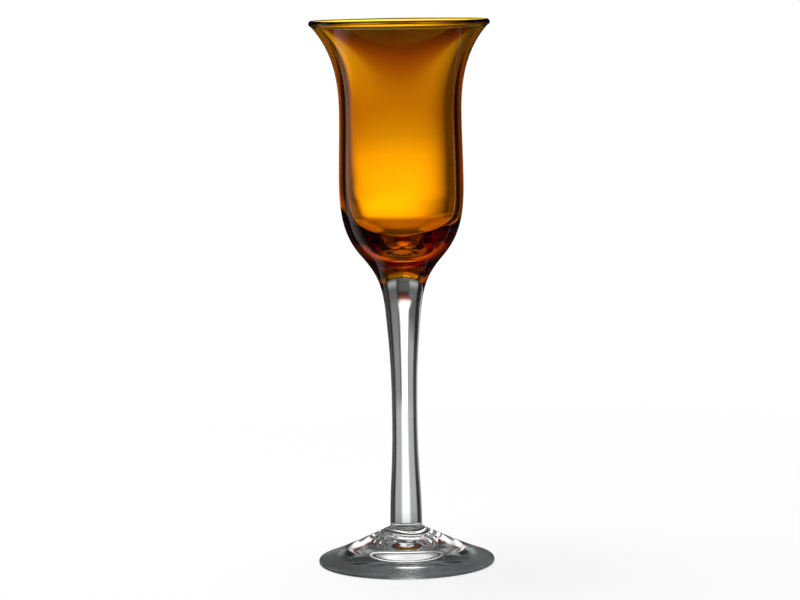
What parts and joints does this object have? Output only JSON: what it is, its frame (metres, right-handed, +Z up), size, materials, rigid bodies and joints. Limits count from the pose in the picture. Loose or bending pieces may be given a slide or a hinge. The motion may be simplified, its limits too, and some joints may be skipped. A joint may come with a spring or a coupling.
{
  "type": "cordial glass",
  "caption": "Tall stemmed cordial glass: an amber bowl that flares to an open rim, a slender clear stem with a waist and a clear cone-shaped foot, for small servings of liqueur.",
  "frame": {"origin": "on the table, in the middle of the foot's resting ring", "axes": "+Z up along the stem; X and Y are alike because every piece is round"},
  "size_m": [0.056, 0.056, 0.17],
  "materials": {
    "amber_glass": "fire polished, amber all through",
    "clear_glass": "fire polished, colourless"
  },
  "bodies": {
    "root": {"bowl": "amber_glass", "stem": "clear_glass", "foot": "clear_glass"}
  },
  "joints": []
}
